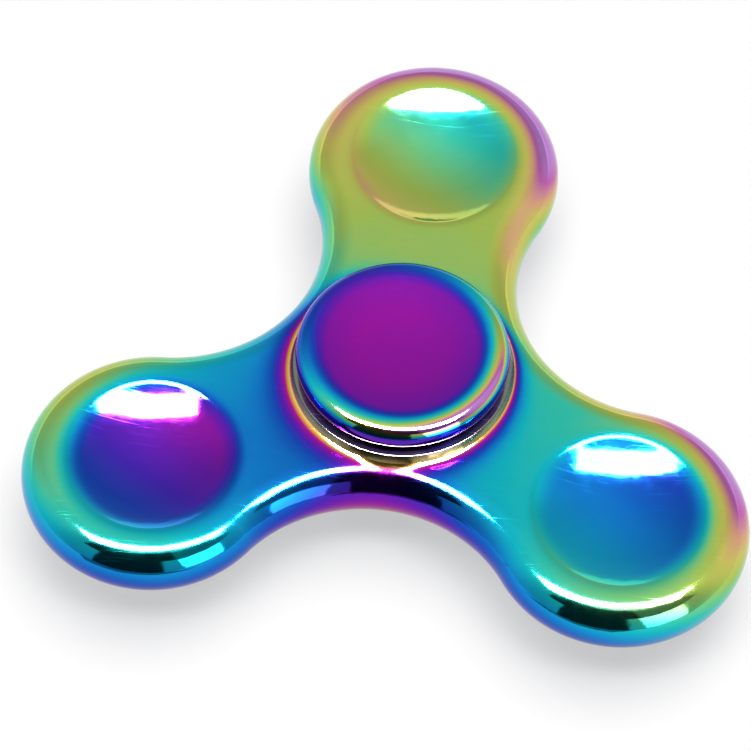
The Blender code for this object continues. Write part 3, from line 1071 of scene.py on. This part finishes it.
@dataclass
class Studio:
    """A pale table in soft light, and the camera that looks down on it."""

    camera_turn: float = 6.06
    camera_rise: float = 57.0
    camera_distance: float = 420.0 * MM
    camera_roll: float = 1.64
    camera_aim: tuple[float, float, float] = (-2.88 * MM, 1.05 * MM, 0.0)
    focal_length: float = 190.9
    floor_size: float = 3.0
    floor_colour: str = "#F7F7F8"
    tent_levels: tuple[tuple[float, float], ...] = (
        (0.0, 1.3), (0.08, 1.25), (0.10, 0.72), (0.33, 0.72),
        (0.5, 0.82), (0.64, 0.95), (0.78, 1.1), (1.0, 1.3),
    )
    panels: tuple[Panel, ...] = (
        Panel((65, 120), (-5, 75), 1.05, (30, 20)),
        Panel((-115, -65), (-5, 75), 1.0, (30, 20)),
        Panel((-70, 70), (-5, 57), 0.6, (40, 3)),
        Panel((15, 68), (38, 63), 0.25, (3, 3)),
        Panel((-56, 20), (38, 66), 0.025, (3, 2)),
        Panel((-41, 10), (-6, 42), 0.025, (2, 3)),
    )
    softboxes: tuple[Softbox, ...] = (
        Softbox("overhead_softbox_back", (0.72, 0.072), 0.6, 0.0, 84.0, 24.0),
        Softbox("overhead_softbox_front", (0.72, 0.085), 0.6, 0.0, 76.2, 28.0),
        Softbox("front_window", (0.42, 0.5), 0.8, 37.0, 19.0, 2.5),
    )
    table_lights: tuple[TableLight, ...] = (
        TableLight("table_key", 165.0, 70.0, 2.1, 52.0, linear("#FFFCF8"), True),
        TableLight("table_fill", 0.0, 90.0, 0.95, 120.0, linear("#F2F8FF"), False),
    )
    mat_reach: Point = (0.09, 1.3)
    mat_turns: Point = (-50.0, 14.0)

    def direction(self, turn: float, rise: float) -> Vector:
        """Return a direction from the object.

        Args:
            turn: The turn from the camera, in degrees.
            rise: The rise above the table, in degrees.

        Returns:
            The direction, as a unit vector.
        """
        around, up = math.radians(self.camera_turn + turn), math.radians(rise)
        flat = math.cos(up)
        return Vector((math.sin(around) * flat, -math.cos(around) * flat, math.sin(up)))

    def facing(self, turn: float, rise: float) -> Matrix:
        """Return the rotation that points a lamp or camera back at the object."""
        return self.direction(turn, rise).to_track_quat("Z", "Y").to_matrix()

    def add_camera(self) -> None:
        """Add the camera and make it the scene's."""
        lens = bpy.data.cameras.new("camera")
        lens.lens = self.focal_length
        lens.sensor_width = LENS_SENSOR
        lens.clip_start = 0.01
        lens.clip_end = 20.0
        camera = bpy.data.objects.new("camera", lens)
        back = self.direction(0.0, self.camera_rise)
        roll = Matrix.Rotation(math.radians(self.camera_roll), 3, "Z")
        place = Matrix.Translation(Vector(self.camera_aim) + back * self.camera_distance)
        camera.matrix_world = place @ (self.facing(0.0, self.camera_rise) @ roll).to_4x4()
        bpy.context.scene.collection.objects.link(camera)
        bpy.context.scene.camera = camera

    def add_floor(self) -> None:
        """Add the table that the lower cap stands on."""
        bm = bmesh.new()
        bmesh.ops.create_grid(bm, x_segments=1, y_segments=1, size=self.floor_size / 2)
        bmesh.ops.translate(bm, verts=bm.verts, vec=(0.0, 0.0, CAD_BOX[0][2] - 0.02 * MM))
        paper = bpy.data.materials.new("white_paper")
        paper.use_nodes = True
        shader = paper.node_tree.nodes["Principled BSDF"]
        shader.inputs["Base Color"].default_value = linear(self.floor_colour)
        shader.inputs["Roughness"].default_value = 0.9
        make_piece("table", bm, paper)

    def add_mat(self) -> None:
        """Lay a black mat in front, which shows in the metal's reflections and nowhere else."""
        height = CAD_BOX[0][2] + 0.2 * MM
        start, end = (math.radians(self.camera_turn + turn - 90) for turn in self.mat_turns)
        near, far = self.mat_reach
        top = height + 0.1 * MM
        bm = turned([(near, height), (far, height), (far, top), (near, top)],
                    steps=24, sweep=end - start)
        bmesh.ops.rotate(bm, verts=bm.verts, matrix=Matrix.Rotation(start, 3, "Z"))
        felt = bpy.data.materials.new("black_felt")
        felt.use_nodes = True
        shader = felt.node_tree.nodes["Principled BSDF"]
        shader.inputs["Base Color"].default_value = linear("#0A0A0B")
        shader.inputs["Roughness"].default_value = 1.0
        mat = make_piece("mat", bm, felt)
        mat.visible_camera = mat.visible_diffuse = mat.visible_shadow = False

    def add_sky(self) -> None:
        """Surround the table with a white tent, open in front to a dark room with lit panels."""
        world = bpy.data.worlds.new("tent")
        bpy.context.scene.world = world
        world.cycles_visibility.diffuse = False
        world.use_nodes = True
        tree = world.node_tree
        place = add_node(tree, "ShaderNodeTexCoord").outputs["Generated"]
        facing = add_node(tree, "ShaderNodeMapping", {"vector_type": "POINT"}, Vector=place)
        facing.inputs["Rotation"].default_value = (0.0, 0.0, -math.radians(self.camera_turn))
        split = add_node(tree, "ShaderNodeSeparateXYZ", Vector=facing.outputs[0])
        height = add_node(tree, "ShaderNodeMath", {"operation": "ARCSINE"}, in_0=split.outputs[2])
        rise = add_node(tree, "ShaderNodeMath", {"operation": "DIVIDE"},
                        in_0=height.outputs[0], in_1=math.pi / 2)
        front = add_node(tree, "ShaderNodeMath", {"operation": "MULTIPLY"},
                         in_0=split.outputs[1], in_1=-1.0)
        turn = add_node(tree, "ShaderNodeMath", {"operation": "ARCTAN2"},
                        in_0=split.outputs[0], in_1=front.outputs[0])
        ramp = add_node(tree, "ShaderNodeValToRGB", Fac=rise.outputs[0])
        fill_ramp(ramp.color_ramp, [(at, (level, level, level, 1.0)) for at, level in self.tent_levels])
        glow = ramp.outputs["Color"]
        for panel in self.panels:
            glow = panel.laid_over(tree, glow, turn.outputs[0], height.outputs[0])
        tree.links.new(glow, tree.nodes["Background"].inputs["Color"])

    def add_softbox(self, box: Softbox) -> None:
        """Add one rectangular soft light, turned with the camera."""
        light = bpy.data.lights.new(box.name, "AREA")
        light.shape = "RECTANGLE"
        light.size, light.size_y = box.size
        light.energy = box.power
        lamp = bpy.data.objects.new(box.name, light)
        place = Matrix.Translation(box.distance * self.direction(box.turn, box.rise))
        lamp.matrix_world = place @ self.facing(box.turn, box.rise).to_4x4()
        lamp.visible_diffuse = False
        bpy.context.scene.collection.objects.link(lamp)

    def add_table_light(self, light: TableLight) -> None:
        """Add one distant light that falls on the table only."""
        sun = bpy.data.lights.new(light.name, "SUN")
        sun.energy = light.strength
        sun.color = light.colour[:3]
        sun.angle = math.radians(light.spread)
        sun.use_shadow = light.casts
        lamp = bpy.data.objects.new(light.name, sun)
        lamp.matrix_world = self.facing(light.turn, light.rise).to_4x4()
        lamp.visible_glossy = False
        bpy.context.scene.collection.objects.link(lamp)

    def build(self) -> None:
        """Set up the table, the light and the camera."""
        scene = bpy.context.scene
        scene.view_settings.view_transform = "Standard"
        self.add_camera()
        self.add_floor()
        self.add_mat()
        self.add_sky()
        for light in self.table_lights:
            self.add_table_light(light)
        for box in self.softboxes:
            self.add_softbox(box)


def main() -> None:
    """Build the spinner's pieces in order, then the studio round them."""
    logging.basicConfig(level=logging.INFO, format="%(name)s: %(message)s")
    SpinnerBody().build()
    for side in Side:
        ThumbCap(side).build()
    BallBearing().build()
    Studio().build()


if __name__ == "__main__":
    main()
